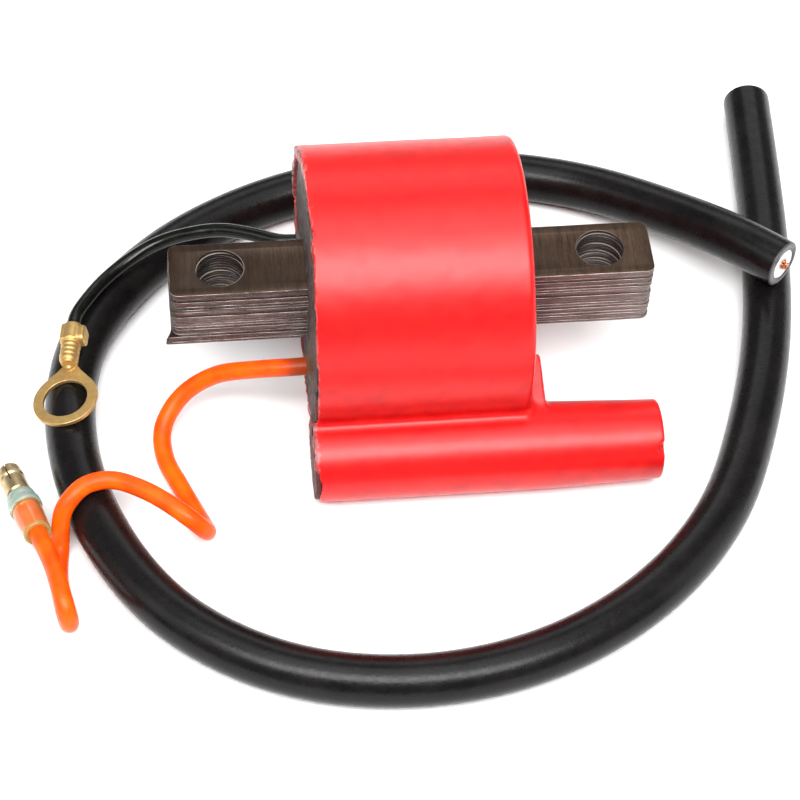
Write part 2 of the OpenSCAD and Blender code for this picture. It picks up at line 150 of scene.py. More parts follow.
def bullet_point(d):
    """Point on the bullet's axis, at a distance from its tip."""
    return BULLET_TIP + d * BULLET_BACK


# --- routes of the cords, as in the CAD ---

GROUND_ROUTE = [
    (-12, 12.6, -4.3), (-14.8, 12.6, -4.3), (-17, 12.9, -4.5), (-20.7, 15, -5.1), (-25.2, 17, -6),
    (-29.7, 17.7, -7.2), (-34.3, 17.8, -9), (-38.5, 16.2, -10.5), (-42, 13.2, -11),
    (-44.4, 9.9, -10.9), ring_point(RING_END + 2), ring_point(RING_END), ring_point(RING_GRIP)]

PRIMARY_ROUTE = [
    (-12, -8.5, -6.5), (-14.8, -8.5, -6.5), (-17, -8.4, -6.7), (-22, -7.4, -8),
    (-27.5, -5.6, -11), (-32.2, -6.2, -14.4), (-35, -9.6, -17), (-34.9, -14, -18.2),
    (-33, -19, -18.2), (-31.2, -23.4, -18.2), (-30, -27.2, -17), (-29.9, -29.7, -14.2),
    (-31.8, -29.5, -11.6), (-35.2, -26.7, -10.9), (-38.6, -24.2, -10.9), (-42.2, -22.5, -11.1),
    (-45.6, -23.1, -11.1), (-47.2, -24.4, -11.4), (-48.8, -25.8, -13), (-49.3, -27, -15.5),
    (-49.5, -28.1, -17.4), (-49.7, -29.6, -18.2), (-49.8, -31.2, -18.2), (-49.8, -33.6, -18.2),
    (-49.4, -36.8, -18.1), (-48.8, -40.2, -17.5), (-48.4, -42.1, -15.8), (-48.4, -42.6, -13.5),
    (-48.9, -41.1, -11.8), bullet_point(BULLET_OUT + SLEEVE_LEN + 7),
    bullet_point(BULLET_OUT + SLEEVE_LEN), bullet_point(BULLET_OUT + 3.4)]

HT_ROUTE = [
    (58, 47.6, -16), (56.8, 33, -16), (55.2, 17, -16), (52.6, 1.5, -16), (48, -14, -16),
    (40.5, -30.5, -16), (29, -43, -16), (13.5, -51.5, -16), (-4, -54.3, -16), (-21, -51, -16),
    (-35, -41.5, -16), (-43.9, -27, -16), (-47.7, -10.5, -16), (-45.5, 6, -16),
    (-35.5, 20.5, -16), (-20, 30.5, -16), (-3, 35, -16), (14, 35, -16), (29.5, 30.5, -15.2),
    (41.5, 21.5, -12.4), (49.4, 13.2, -9.6), (55.1, 7.45, -9.05)]


# --- camera, light and floor ---

def direction(azimuth, elevation):
    """Unit vector away from the object, from angles in radians."""
    return Vector((math.sin(azimuth) * math.cos(elevation),
                   -math.cos(azimuth) * math.cos(elevation), math.sin(elevation)))


def add_camera():
    """Camera at the photograph's viewing angle."""
    azimuth, elevation, roll = (math.radians(a) for a in (-7.78, 51.38, 2.79))
    aim = Vector((-1.63, -7.87, -16)) * MM
    distance = 361 * MM
    right = Vector((math.cos(azimuth), math.sin(azimuth), 0))
    back = direction(azimuth, elevation)
    up = back.cross(right)
    side = math.cos(roll) * right + math.sin(roll) * up
    data = bpy.data.cameras.new("camera")
    data.lens = 115.59
    data.sensor_width = 36
    data.clip_start = 0.01
    camera = bpy.data.objects.new("camera", data)
    camera.matrix_world = (Matrix.Translation(aim + distance * back)
                           @ Matrix((side, back.cross(side), back)).transposed().to_4x4())
    bpy.context.scene.collection.objects.link(camera)
    bpy.context.scene.camera = camera


def add_softbox(name, azimuth, elevation, distance, size, energy):
    """Area light that faces the object from a direction in degrees, with sizes in metres."""
    out = direction(math.radians(azimuth), math.radians(elevation))
    data = bpy.data.lights.new(name, "AREA")
    data.shape = "RECTANGLE"
    data.size, data.size_y = size
    data.energy = energy
    light = bpy.data.objects.new(name, data)
    light.location = out * distance
    light.rotation_euler = out.to_track_quat("Z", "Y").to_euler()
    light.visible_camera = False
    bpy.context.scene.collection.objects.link(light)


# Name, azimuth, elevation, distance, size and energy of each softbox.
SOFTBOXES = [
    ("key", -6, 60, 1.1, (1.2, 0.44), 23),
    ("top", 20, 88, 1.3, (0.9, 0.9), 7.5),
    ("left", -75, 35, 1.2, (0.5, 0.7), 2),
    ("right", 80, 20, 1.2, (0.5, 1.0), 2.2),
    ("back", 170, 40, 1.3, (1.0, 0.5), 3),
]


def add_studio():
    """Soft studio light and a plain pale floor."""
    scene = bpy.context.scene
    scene.view_settings.view_transform = "Standard"
    world = bpy.data.worlds.new("studio")
    world.use_nodes = True
    world.node_tree.nodes["Background"].inputs["Color"].default_value = (1, 1, 1, 1)
    world.node_tree.nodes["Background"].inputs["Strength"].default_value = 0.2
    scene.world = world
    for softbox in SOFTBOXES:
        add_softbox(*softbox)

    half = 1.5
    mesh = bpy.data.meshes.new("floor")
    corners = [(-half, -half), (half, -half), (half, half), (-half, half)]
    mesh.from_pydata([(x, y, FLOOR_Z * MM) for x, y in corners], [], [(0, 1, 2, 3)])
    floor = bpy.data.objects.new("floor", mesh)
    scene.collection.objects.link(floor)
    material = bpy.data.materials.new("floor")
    material.use_nodes = True
    shader = material.node_tree.nodes["Principled BSDF"]
    shader.inputs["Base Color"].default_value = (0.92, 0.92, 0.92, 1)
    shader.inputs["Roughness"].default_value = 0.9
    mesh.materials.append(material)


# --- meshes ---

# Every material of this script, by its own name.
LOOKS = {}


def add_piece(name, points, faces, looks, replaces=(), slot=None, body="coil", normals=None):
    """Smooth-shaded mesh piece from points in millimetres; it rides on a body and stands for CAD nodes.
    Its slot argument is not used."""
    mesh = bpy.data.meshes.new(name)
    mesh.from_pydata((np.asarray(points) * MM).tolist(), [], [list(map(int, f)) for f in faces])
    mesh.polygons.foreach_set("use_smooth", [True] * len(mesh.polygons))
    if normals is not None:
        mesh.normals_split_custom_set_from_vertices(normals.tolist())
    for look in looks:
        mesh.materials.append(LOOKS[look])
    piece = bpy.data.objects.new(name, mesh)
    bpy.context.scene.collection.objects.link(piece)
    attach(piece, body)
    if replaces:
        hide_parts(*replaces)
    return piece


def grid_faces(rings, sides, closed_rings=False, first=0):
    """Quads between rings of points; the last ring joins the first when closed_rings."""
    faces = []
    for i in range(rings if closed_rings else rings - 1):
        a, b = first + i * sides, first + (i + 1) % rings * sides
        faces += [(a + k, a + (k + 1) % sides, b + (k + 1) % sides, b + k) for k in range(sides)]
    return faces


def stations(*stretches):
    """Grid lines along one axis: each stretch is (start, end, step)."""
    return np.unique(np.concatenate([np.arange(a, b, step) for a, b, step in stretches]).round(4))


def gradient(field, points, h=0.02):
    """Gradient of a field at each point."""
    parts = []
    for axis in np.eye(3) * h:
        parts.append((field(points + axis) - field(points - axis)) / (2 * h))
    return np.stack(parts, -1)


def spread_out(points, quads, pull=0.4):
    """The points moved part of the way to the middle of their neighbours, so that no quad folds."""
    total = np.zeros_like(points)
    count = np.zeros((len(points), 1))
    for k in range(4):
        for other in (quads[:, (k + 1) % 4], quads[:, k - 1]):
            np.add.at(total, quads[:, k], points[other])
            np.add.at(count, quads[:, k], 1)
    return np.where(count > 0, points + pull * (total / np.maximum(count, 1) - points), points)


# Corners of a grid cell.
CORNERS = [(i, j, k) for i in (0, 1) for j in (0, 1) for k in (0, 1)]


def surface_net(field, xs, ys, zs, passes=3):
    """Surface where a field crosses zero on a grid: one point in each crossed cell, moved onto the
    surface, and one quad round each crossed grid line. Returns points, faces and normals."""
    axes = (xs, ys, zs)
    shape = [len(a) for a in axes]
    grid = np.stack(np.meshgrid(*axes, indexing="ij"), -1).reshape(-1, 3)
    value = field(grid).reshape(shape)
    inside = value < 0
    cells = tuple(n - 1 for n in shape)

    def shifted(array, c):
        return array[tuple(slice(o, o + n) for o, n in zip(c, cells))]

    count = sum(shifted(inside, c).astype(np.int8) for c in CORNERS)
    active = np.argwhere((count > 0) & (count < 8))
    index = np.full(cells, -1)
    index[tuple(active.T)] = np.arange(len(active))

    total = np.zeros((len(active), 3))
    crossings = np.zeros(len(active))
    for c in CORNERS:
        for axis in range(3):
            if c[axis]:
                continue
            start = active + c
            end = start.copy()
            end[:, axis] += 1
            a, b = value[tuple(start.T)], value[tuple(end.T)]
            crossed = (a < 0) != (b < 0)
            t = np.where(crossed, a / np.where(crossed, a - b, 1), 0)[:, None]
            pa = np.stack([axes[n][start[:, n]] for n in range(3)], -1)
            pb = np.stack([axes[n][end[:, n]] for n in range(3)], -1)
            total += crossed[:, None] * (pa + t * (pb - pa))
            crossings += crossed
    points = total / crossings[:, None]

    faces = []
    for axis in range(3):
        u, v = (axis + 1) % 3, (axis + 2) % 3
        a, b = np.delete(inside, -1, axis), np.delete(inside, 0, axis)
        at = np.argwhere(a != b)
        keep = (at[:, u] > 0) & (at[:, v] > 0) & (at[:, u] < cells[u]) & (at[:, v] < cells[v])
        at = at[keep]
        ring = []
        for du, dv in ((-1, -1), (0, -1), (0, 0), (-1, 0)):
            cell = at.copy()
            cell[:, u] += du
            cell[:, v] += dv
            ring.append(index[tuple(cell.T)])
        ring = np.stack(ring, -1)
        outward = a[tuple(at.T)]
        ring[~outward] = ring[~outward][:, ::-1]
        faces.append(ring)
    faces = np.concatenate(faces)

    size = np.stack([np.diff(axes[n])[active[:, n]] for n in range(3)], -1).min(1, keepdims=True)
    for _ in range(passes):
        points = spread_out(points, faces)
        slope = gradient(field, points)
        move = -field(points)[:, None] * slope / np.maximum((slope ** 2).sum(1, keepdims=True), 0.2)
        points += np.clip(move, -size / 2, size / 2)
    normals = gradient(field, points)
    normals /= np.maximum(np.linalg.norm(normals, axis=1, keepdims=True), 1e-9)
    return points, faces, normals


def add_surface(name, field, grid, look, replaces=(), slot=None, base=0, axes=np.eye(3)):
    """Piece from a field in its own frame, whose origin is base and whose axes are the rows of axes."""
    points, faces, normals = surface_net(field, *grid)
    return add_piece(name, base + points @ axes, faces, [look], replaces, slot,
                     normals=normals @ axes)


def round_max(a, b, r):
    """Intersection of two fields with its edge rounded."""
    return np.minimum(np.maximum(a, b), -r) + np.hypot(np.maximum(a + r, 0), np.maximum(b + r, 0))


def round_min(a, b, r):
    """Union of two fields with a fillet."""
    return -round_max(-a, -b, r)


def band(value, low, high):
    """How far a value is outside a range; negative inside it."""
    return np.maximum(low - value, value - high)


def share(value):
    """The value held between 0 and 1."""
    return np.clip(value, 0, 1)


LATTICE = np.random.default_rng(11).uniform(-1, 1, (32, 32, 32))


def smooth_noise(points, size):
    """Smooth noise from -1 to 1 at points, with features of a size in millimetres."""
    q = np.asarray(points, float) / size
    cell = np.floor(q).astype(int)
    f = q - cell
    f = f * f * (3 - 2 * f)
    value = 0
    for c in CORNERS:
        weight = np.prod([f[..., n] if c[n] else 1 - f[..., n] for n in range(3)], axis=0)
        at = (cell + c) % 32
        value = value + weight * LATTICE[at[..., 0], at[..., 1], at[..., 2]]
    return value


class Route:
    """Smooth centreline through given points, with side directions that don't twist."""

    def __init__(self, points, ease, step=0.25):
        p = np.array(points, float)
        p = np.vstack([2 * p[0] - p[1], p, 2 * p[-1] - p[-2]])
        dense = np.vstack([self.stretch(p[i:i + 4], step) for i in range(len(p) - 3)] + [p[-2:-1]])
        dense = self.resample(dense, step)
        if ease:
            dense = self.resample(self.eased(dense, ease / step), step)
        self.points = dense
        self.s = np.concatenate([[0], np.cumsum(np.linalg.norm(np.diff(dense, axis=0), axis=1))])
        self.length = self.s[-1]
        self.along = np.gradient(dense, self.s, axis=0)
        self.along /= np.linalg.norm(self.along, axis=1, keepdims=True)
        side = unit(np.cross(self.along[0], [0, 0, 1]))
        sides = []
        for t in self.along:
            side = unit(side - side @ t * t)
            sides.append(side)
        self.side = np.array(sides)

    @staticmethod
    def stretch(p, step):
        """Centripetal Catmull-Rom stretch between the middle two of four points."""
        k = np.concatenate([[0], np.cumsum(np.linalg.norm(np.diff(p, axis=0), axis=1) ** 0.5)])
        count = max(4, int(np.linalg.norm(p[2] - p[1]) / step))
        t = np.linspace(k[1], k[2], count, endpoint=False)[:, None]

        def between(a, b, ka, kb):
            return (kb - t) / (kb - ka) * a + (t - ka) / (kb - ka) * b

        a = [between(p[i], p[i + 1], k[i], k[i + 1]) for i in range(3)]
        b = [between(a[i], a[i + 1], k[i], k[i + 2]) for i in range(2)]
        return between(b[0], b[1], k[1], k[2])

    @staticmethod
    def resample(dense, step):
        s = np.concatenate([[0], np.cumsum(np.linalg.norm(np.diff(dense, axis=0), axis=1))])
        at = np.linspace(0, s[-1], int(s[-1] / step) + 1)
        return np.stack([np.interp(at, s, dense[:, n]) for n in range(3)], -1)

    @staticmethod
    def eased(dense, sigma):
        """The same line with its bends eased, and its ends kept."""
        reach = int(3 * sigma)
        kernel = np.exp(-0.5 * (np.arange(-reach, reach + 1) / sigma) ** 2)
        kernel /= kernel.sum()
        before = 2 * dense[0] - dense[reach:0:-1]
        after = 2 * dense[-1] - dense[-2:-reach - 2:-1]
        padded = np.vstack([before, dense, after])
        return np.stack([np.convolve(padded[:, n], kernel, "valid") for n in range(3)], -1)

    def at(self, s):
        """Centre and two side directions at distances along the line, which may run past its ends."""
        s = np.asarray(s, float)
        inner = np.clip(s, 0, self.length)
        centre, along, side = (
            np.stack([np.interp(inner, self.s, a[:, n]) for n in range(3)], -1)
            for a in (self.points, self.along, self.side))
        along /= np.linalg.norm(along, axis=1, keepdims=True)
        side -= (side * along).sum(1, keepdims=True) * along
        side /= np.linalg.norm(side, axis=1, keepdims=True)
        return centre + (s - inner)[:, None] * along, side, np.cross(along, side)


def sweep(route, rings, sides, closed=False):
    """Points and faces of round rings on a route: each ring is (distance along it, radius)."""
    s, r = np.array(rings, float).T
    centre, side, other = route.at(s)
    a = TURN * np.arange(sides) / sides
    spread = np.cos(a)[:, None] * side[:, None] + np.sin(a)[:, None] * other[:, None]
    points = (centre[:, None] + r[:, None, None] * spread).reshape(-1, 3)
    faces = grid_faces(len(rings), sides, closed)
    if not closed:
        faces.append(tuple(range(sides))[::-1])
        faces.append(tuple(range((len(rings) - 1) * sides, len(rings) * sides)))
    return points, faces


def edge_rings(s, r, radius, facing, steps=4):
    """Rings round a rounded outer edge at s, from the end face to the wall (facing -1) or back (+1)."""
    angles = [90 * i / steps for i in range(steps + 1)]
    if facing > 0:
        angles = angles[::-1]
    return [(s - facing * radius * (1 - math.cos(math.radians(a))),
             r - radius * (1 - math.sin(math.radians(a)))) for a in angles]


# --- materials ---

class Look:
    """Node material in which textures are measured in millimetres on the object."""

    def __init__(self, name, **values):
        LOOKS[name] = bpy.data.materials.new(name)
        LOOKS[name].use_nodes = True
        self.tree = LOOKS[name].node_tree
        self.shader = self.tree.nodes["Principled BSDF"]
        for key, value in values.items():
            self.shader.inputs[key.replace("_", " ")].default_value = value
        place = self.tree.nodes.new("ShaderNodeTexCoord").outputs["Object"]
        self.place = self.node("ShaderNodeVectorMath", {0: place, "Scale": 1 / MM}, operation="SCALE")
        self.colour = None

    def node(self, kind, inputs, output=0, **settings):
        """New node with its inputs set or linked; returns one of its outputs."""
        new = self.tree.nodes.new(kind)
        for key, value in settings.items():
            setattr(new, key, value)
        for key, value in inputs.items():
            if isinstance(value, bpy.types.NodeSocket):
                self.tree.links.new(value, new.inputs[key])
            else:
                new.inputs[key].default_value = value
        return new.outputs[output]

    def stretched(self, scale):
        """The place, with each axis multiplied where a scale is given."""
        if not scale:
            return self.place
        return self.node("ShaderNodeVectorMath", {0: self.place, 1: scale}, operation="MULTIPLY")

    def noise(self, size, detail, stretch=None, rough=0.5):
        inputs = {"Vector": self.stretched(stretch), "Scale": 1 / size, "Detail": detail,
                  "Roughness": rough}
        return self.node("ShaderNodeTexNoise", inputs)

    def ramp(self, value, low, high, a=0.0, b=1.0):
        """Value mapped from low..high to a..b, and held there."""
        return self.node("ShaderNodeMapRange", {"Value": value, "From Min": low, "From Max": high,
                                                "To Min": a, "To Max": b})

    def patches(self, size, detail, low, high, a=0.0, b=1.0, **how):
        """Noise mapped from low..high to a..b."""
        return self.ramp(self.noise(size, detail, **how), low, high, a, b)

    def maths(self, operation, a, b=0.0):
        return self.node("ShaderNodeMath", {0: a, 1: b}, operation=operation)

    def times(self, a, b):
        return self.maths("MULTIPLY", a, b)

    def plus(self, a, b):
        return self.maths("ADD", a, b)

    def mix(self, factor, a, b):
        """Colour mixed from a to b by a factor."""
        inputs = {"Factor": factor, 6: a, 7: b}
        return self.node("ShaderNodeMix", inputs, output=2, data_type="RGBA")

    def base(self, factor, low, high):
        """Starts the colour as a mix of two sRGB colours."""
        self.colour = self.mix(factor, rgb(*low), rgb(*high))

    def paint(self, factor, *colour):
        """Lays an sRGB colour over the colour so far."""
        self.colour = self.mix(factor, self.colour, rgb(*colour))

    def axis(self, name):
        """One coordinate of the place, in millimetres."""
        return self.node("ShaderNodeSeparateXYZ", {0: self.place}, output=name)

    def measure(self, operation, point, scale=None):
        """Number from a vector operation on the place and a point."""
        inputs = {0: self.stretched(scale), 1: tuple(point)}
        return self.node("ShaderNodeVectorMath", inputs, output="Value", operation=operation)

    def distance(self, point, scale=None):
        """Distance in millimetres from a point."""
        return self.measure("DISTANCE", point, scale)

    def from_bullet_tip(self):
        """Distance in millimetres along the bullet's axis from its tip."""
        return self.maths("SUBTRACT", self.measure("DOT_PRODUCT", BULLET_BACK),
                          float(BULLET_TIP @ BULLET_BACK))

    def finish(self, roughness, height, relief):
        """Links the colour, the roughness and a bump whose full height is relief millimetres."""
        self.tree.links.new(self.colour, self.shader.inputs["Base Color"])
        self.tree.links.new(roughness, self.shader.inputs["Roughness"])
        normal = self.node("ShaderNodeBump", {"Height": height, "Distance": relief * MM})
        self.tree.links.new(normal, self.shader.inputs["Normal"])


def rgb(r, g, b):
    """Linear colour from sRGB values of 0 to 255."""
    def linear(v):
        v /= 255
        return v / 12.92 if v <= 0.04045 else ((v + 0.055) / 1.055) ** 2.4
    return (linear(r), linear(g), linear(b), 1)


def case_red():
    """Glossy red thermoset, broken pink along its open end and smeared there with potting."""
    look = Look("case_red", IOR=1.5, Specular_IOR_Level=0.36)
    look.base(look.patches(2.4, 2, 0.35, 0.65), (190, 8, 13), (206, 17, 14))
    from_rim = look.plus(look.axis("X"), look.patches(0.9, 4, 0.3, 0.7, -0.35, 0.35))
    worn = look.ramp(from_rim, DRUM_LEFT + 0.65, DRUM_LEFT + 0.2)
    look.paint(look.times(worn, look.patches(0.6, 4, 0.4, 0.55)), 214, 104, 100)
    smear = look.ramp(from_rim, DRUM_LEFT + 0.5, DRUM_LEFT + 0.1)
    look.paint(look.times(smear, look.patches(1.3, 4, 0.42, 0.5, 0, 0.8)), 104, 66, 66)
    from_tower = look.distance((0, TOWER_Y, TOWER_Z), ACROSS)
    on_fin = look.times(look.ramp(look.axis("X"), DRUM_RIGHT - 0.1, DRUM_RIGHT + 0.3, 0, 0.1),
                        look.ramp(from_tower, TOWER_R + 0.3, TOWER_R + 1.2))
    roughness = look.plus(look.patches(1.6, 2, 0, 1, 0.3, 0.42), on_fin)
    look.finish(roughness, look.noise(3.2, 1), 0.035)


def potting():
    """Grey-brown filled epoxy with pale filler specks, browner where it has wicked up the primary lead
    and maroon along its lower edge."""
    look = Look("potting", Specular_IOR_Level=0.12)
    look.base(look.patches(1.6, 5, 0.35, 0.65, rough=0.6), (60, 51, 50), (98, 88, 85))
    look.paint(look.patches(1.1, 4, 0.5, 0.62, 0, 0.8), 62, 36, 33)
    look.paint(look.patches(0.22, 2, 0.68, 0.74), 140, 130, 126)
    look.paint(look.ramp(look.distance(PRIMARY_ROUTE[1]), 4.2, 2, 0, 0.8), 104, 72, 48)
    out = look.distance((0, 0, 0), ACROSS)
    lower_edge = look.times(look.ramp(out, CAVITY_R - 1.6, CAVITY_R - 0.4, 0, 0.85),
                            look.ramp(look.axis("Z"), -1, -5))
    look.paint(lower_edge, 86, 42, 42)
    look.finish(look.patches(0.9, 3, 0.3, 0.7, 0.42, 0.7), look.noise(0.35, 4), 0.05)


def steel_face():
    """Dark bronze-brown oxide of a core plate, streaked across by rolling, darker towards the lead end and
    paler in a thin ring round each hole."""
    look = Look("steel_face", Metallic=0.55)
    streak = look.noise(0.5, 4, stretch=(1, 0.07, 1), rough=0.62)
    fine = look.noise(0.1, 2, stretch=(1, 0.1, 1))
    look.base(look.ramp(streak, 0.3, 0.7), (46, 33, 24), (76, 58, 43))
    look.paint(look.ramp(fine, 0.5, 0.75, 0, 0.35), 104, 84, 66)
    look.paint(look.ramp(look.axis("X"), -15, -22, 0, 0.5), 34, 22, 14)
    for x in (-HOLE_X, HOLE_X):
        from_hole = look.distance((x, 0, 0), (1, 1, 0))
        look.paint(look.ramp(from_hole, HOLE_R + 0.1, HOLE_R + 0.03), 140, 128, 118)
    look.finish(look.ramp(streak, 0.3, 0.7, 0.36, 0.5), fine, 0.006)


def steel_edge():
    """Sheared edges of the core plates: scored, rusty towards the top of the stack, with a dark line along
    each at the joint, deepened with painted shade, and a bright line along each of burr and painted
    highlight, paler at the right end, darker at the lead end, red with a painted reflection of the case
    where they come out of it, and darkened with painted shade in the holes."""
    look = Look("steel_edge", Metallic=0.8)
    x, y, z = (look.axis(name) for name in "XYZ")
    score = look.noise(0.16, 3, stretch=(1, 1, 0.12), rough=0.65)
    grain = look.noise(0.3, 4, stretch=(0.12, 0.12, 1), rough=0.7)
    look.base(look.ramp(grain, 0.32, 0.68), (50, 41, 40), (150, 136, 132))
    look.paint(look.ramp(score, 0.45, 0.7, 0, 0.3), 160, 146, 142)
    rust = look.times(look.ramp(z, -1.5, 3.5), look.patches(1.8, 3, 0.35, 0.6, 0.3, 0.9))
    look.paint(rust, 86, 58, 52)
    look.paint(look.patches(0.62, 2, 0.42, 0.6, 0, 0.7, stretch=(0.03, 0.03, 1)), 38, 30, 28)
    look.paint(look.patches(0.13, 2, 0.52, 0.66, 0, 0.45), 196, 184, 178)
    look.paint(look.ramp(x, 15, 22, 0, 0.3), 176, 162, 156)
    # Painted reflection of the red case: a red tint on the plates' edges where they come out of the case's
    # right end.
    look.paint(look.times(look.ramp(x, 20, 15, 0, 0.6), look.ramp(x, 12, 14)), 92, 34, 38)
    look.paint(look.ramp(x, -15, -22, 0, 0.3), 40, 32, 30)

    step = look.maths("DIVIDE", look.plus(z, CORE_HALF[2] + PLATE_PITCH * PLATES), PLATE_PITCH)
    step = look.maths("FRACT", step)
    # Dark line at the foot of each plate's edge: the joint between plates, deepened with painted shade.
    look.paint(look.ramp(step, 0.2, 0.1), 24, 19, 18)
    # Bright line near the top of each plate's edge: burr, with a painted highlight along it.
    burr_and_highlight = look.times(look.ramp(step, 0.78, 0.9), look.patches(2.2, 3, 0.4, 0.65, 0, 0.6))
    look.paint(burr_and_highlight, 206, 194, 188)

    # Painted shade in the holes: just inside the plates' outer edges, so that only the walls of the holes
    # are darkened.
    side, end = 4, 31.25
    hole_shade = look.times(look.ramp(look.maths("ABSOLUTE", y), side + 0.1, side - 0.1),
                         look.ramp(look.maths("ABSOLUTE", x), end + 0.25, end - 0.25))
    look.paint(look.times(hole_shade, 0.7), 30, 29, 29)
    look.finish(look.ramp(score, 0.3, 0.7, 0.28, 0.5), look.plus(grain, look.times(score, 0.4)),
                0.03)


def brass(name, bright, dull, rough):
    """Stamped or turned brass, with finger-dulled patches, and painted shade darkening the neck of the
    bullet.
    """
    look = Look(name, Metallic=0.92)
    patch = look.patches(1.4, 4, 0.35, 0.7, rough=0.6)
    look.base(patch, bright, dull)
    # Painted shade on the bullet's narrowed neck.
    neck = look.ramp(look.from_bullet_tip(), BULLET_OUT, BULLET_OUT + 0.25, 0, 0.8)
    neck_shade_reach = look.ramp(look.distance(bullet_point(BULLET_OUT)), 4, 3)
    look.paint(look.times(neck, neck_shade_reach), 112, 80, 34)
    look.finish(look.ramp(patch, 0, 1, rough - 0.06, rough + 0.1),
                look.noise(0.1, 3, stretch=(1, 0.2, 1)), 0.012)


def cable_black():
    """Black rubber jacket with faint extrusion streaks and dust, and greyer on its cut far end."""
    look = Look("cable_black", IOR=1.5, Specular_IOR_Level=0.2)
    look.base(look.patches(5, 4, 0.3, 0.7), (9, 8, 8), (19, 17, 17))
    look.paint(look.patches(0.16, 2, 0.72, 0.78, 0, 0.5), 96, 94, 92)
    end = np.array(HT_ROUTE[-1])
    along = unit(end - HT_ROUTE[-2])
    past = look.measure("DOT_PRODUCT", along)
    face = float(end @ along)
    cut = look.ramp(past, face - 0.22, face - 0.12)
    cut = look.times(cut, look.ramp(look.distance(end), 3.7, 3.6))
    cut = look.times(cut, look.ramp(past, face + 0.1, face + 0.05))
    look.paint(cut, 74, 72, 72)
    look.finish(look.patches(1.1, 5, 0.3, 0.7, 0.24, 0.34), look.noise(0.4, 4), 0.02)


def lead_black():
    """Glossy black PVC of the thin ground lead."""
    look = Look("lead_black", IOR=1.5, Specular_IOR_Level=0.3)
    look.base(look.patches(2, 3, 0.35, 0.65), (6, 7, 5), (15, 17, 11))
    look.finish(look.patches(0.8, 4, 0.3, 0.7, 0.14, 0.26), look.noise(0.7, 3), 0.025)


def lead_orange():
    """Orange PVC insulation, rubbed a little darker in places, and brown with painted shade at its root."""
    look = Look("lead_orange", IOR=1.5, Specular_IOR_Level=0.2)
    look.base(look.patches(3, 3, 0.35, 0.65), (240, 72, 2), (250, 92, 3))
    look.paint(look.patches(0.5, 4, 0.6, 0.72, 0, 0.35), 214, 84, 24)
    # Painted shade: the lead turns brown near where it leaves the case.
    look.paint(look.ramp(look.distance(PRIMARY_ROUTE[1]), 4.6, 1.9, 0, 0.85), 122, 44, 8)
    look.finish(look.patches(0.8, 4, 0.3, 0.7, 0.3, 0.45), look.noise(0.5, 3), 0.012)


def clear_pvc():
    """Clear PVC over the amber wire, hazy in the front collar and olive at the tail."""
    look = Look("clear_pvc", IOR=1.5)
    back = look.from_bullet_tip()
    collar = look.ramp(back, COLLAR_END + 0.1, COLLAR_END - 0.1)
    tail = look.ramp(back, BULLET_OUT + SLEEVE_LEN - 0.9, BULLET_OUT + SLEEVE_LEN - 0.5)
    look.base(look.patches(1.2, 3, 0.35, 0.65), (255, 196, 92), (255, 222, 150))
    hazy = look.mix(look.patches(0.9, 3, 0.4, 0.6), rgb(196, 200, 194), rgb(176, 214, 194))
    look.colour = look.mix(collar, look.colour, hazy)
    look.paint(tail, 196, 172, 92)
    solid = look.plus(look.plus(0.16, look.times(collar, 0.22)), look.times(tail, 0.25))
    look.tree.links.new(look.maths("SUBTRACT", 1.0, solid), look.shader.inputs["Transmission Weight"])
    look.finish(look.patches(0.5, 3, 0.35, 0.65, 0.06, 0.16), look.noise(0.6, 3), 0.02)


def cable_white():
    """White polyethylene round the HT cable's core."""
    look = Look("cable_white", IOR=1.5, Subsurface_Weight=0.2, Subsurface_Scale=0.0008,
                Subsurface_Radius=(1.0, 1.0, 0.9))
    look.base(look.patches(0.7, 4, 0.35, 0.65), (226, 226, 222), (244, 244, 242))
    look.finish(look.patches(0.4, 4, 0.3, 0.7, 0.4, 0.6), look.noise(0.25, 3), 0.03)


def copper(name, turns=None):
    """Copper; where turns is given it is wound wire of that pitch along X, under amber varnish."""
    look = Look(name, Metallic=1)
    look.base(look.patches(0.8, 4, 0.35, 0.65), (214, 138, 100), (178, 96, 62))
    height, relief = look.noise(0.2, 3), 0.01
    if turns:
        waves = {"Vector": look.place, "Scale": TURN / 20 / turns, "Distortion": 0.3}
        height = look.node("ShaderNodeTexWave", waves, output="Fac", bands_direction="X",
                           wave_profile="SIN")
        relief = turns / 3
    look.finish(look.patches(0.3, 3, 0.3, 0.7, 0.25, 0.42), height, relief)


def plain(name, low, high, size, rough, relief):
    """Moulded or sheet material that varies softly between two colours."""
    look = Look(name)
    look.base(look.patches(size, 5, 0.3, 0.7), low, high)
    look.finish(look.patches(size / 3, 3, 0.3, 0.7, rough - 0.08, rough + 0.1),
                look.noise(size / 6, 4), relief)


# --- cords ---

def add_tube(name, route, r_out, r_in, step, edge, sides, look, node):
    """Hollow tube along a route, in the place of a CAD node."""
    end = route.length
    rings = [(0, r_in)] + edge_rings(0, r_out, edge, -1)
    rings += [(s, r_out) for s in np.arange(edge + step, end - edge, step)]
    rings += edge_rings(end, r_out, edge, 1) + [(end, r_in)]
    rings += [(s, r_in) for s in np.arange(end - 4 * step, 0, -4 * step)]
    points, faces = sweep(route, rings, sides, closed=True)
    return add_piece(name, points, faces, [look], [node])


def add_strands(route):
    """Seven twisted copper strands along the HT cable, standing proud of its far end."""
    strand_r = HT_STRAND_D / 6
    pitch, proud = 12, 0.6
    points, faces = [], []
    for k in range(7):
        end = route.length + proud * (0.5 + 0.5 * math.cos(2.4 * k))
        s = np.arange(0, end, 1.2)
        s[-1] = end
        centre, side, other = route.at(s)
        a = TURN * (s / pitch + k / 6)[:, None]
        out = 0 if k == 6 else 2 * strand_r
        line = Route(centre + out * (np.cos(a) * side + np.sin(a) * other), ease=0, step=1)
        p, f = sweep(line, [(d, strand_r) for d in line.s], 8)
        faces += [tuple(i + len(points) for i in face) for face in f]
        points += p.tolist()
    return add_piece("ht_strands", points, faces, ["copper"], ["ht_cable_strands"], "copper_wire")


